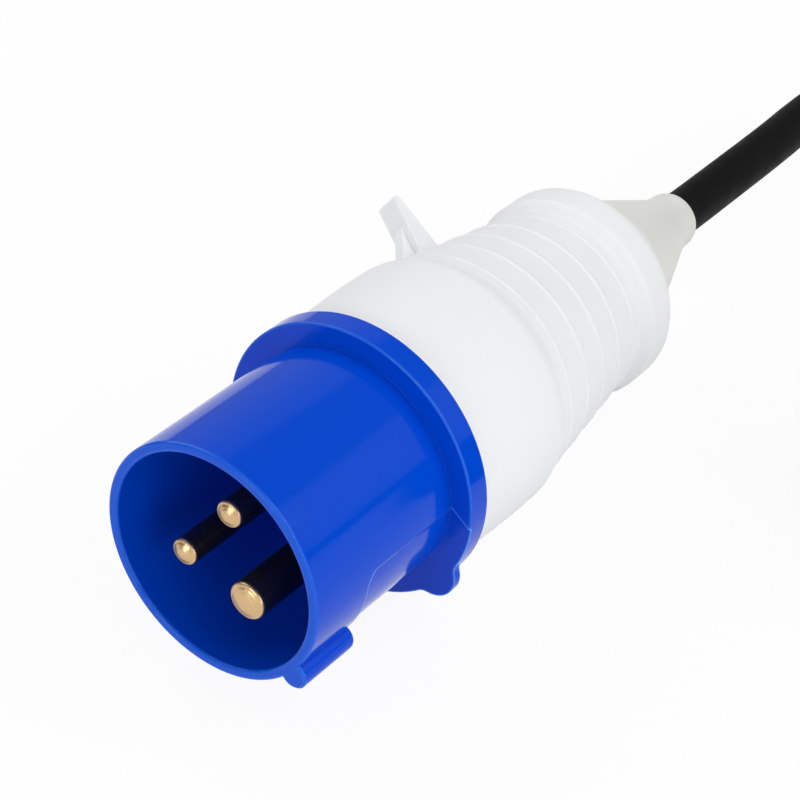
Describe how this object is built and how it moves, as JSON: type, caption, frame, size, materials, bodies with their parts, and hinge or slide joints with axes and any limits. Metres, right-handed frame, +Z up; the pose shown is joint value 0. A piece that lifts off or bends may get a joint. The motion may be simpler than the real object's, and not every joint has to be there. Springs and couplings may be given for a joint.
{
  "type": "plug adapter",
  "caption": "Adapter lead: shrouded round-pin industrial plug with key, collar, ribbed tapered handle, lid catch and gland nut, and a short cable to a round in-line earthed socket.",
  "frame": {"origin": "centre of the plug's mouth", "axes": "+X horizontal along the lead from the plug's mouth to its cable, +Z up from the floor that the lead lies on"},
  "size_m": [0.2535, 0.1347, 0.0525],
  "materials": {
    "blue_plastic": "smooth moulded, glossy",
    "brass": "turned and polished",
    "dark_plastic": "moulded",
    "steel": "plated",
    "white_plastic": "smooth moulded, satin",
    "warm_white_plastic": "smooth moulded, satin",
    "seal_rubber": "matt",
    "cable_rubber": "matt",
    "socket_rubber": "matt",
    "brown_insulation": "extruded",
    "blue_insulation": "extruded",
    "green_insulation": "extruded"
  },
  "bodies": {
    "root": {"plug_shroud": "blue_plastic", "pin_carrier": "blue_plastic", "line_pin": "brass", "neutral_pin": "brass", "earth_pin": "brass", "pin_retainer": "dark_plastic", "retainer_screw": "steel", "terminal_screws": "steel", "handle": "white_plastic", "gland_nut": "warm_white_plastic", "gland_seal": "seal_rubber", "gland_washer": "warm_white_plastic", "inner_sheath": "cable_rubber", "line_core": "brown_insulation", "neutral_core": "blue_insulation", "earth_core": "green_insulation", "ferrules": "steel", "cable": "cable_rubber", "socket_body": "socket_rubber", "contact_carrier": "dark_plastic", "socket_line_contact": "brass", "socket_neutral_contact": "brass", "socket_earth_clip": "brass"}
  },
  "joints": []
}
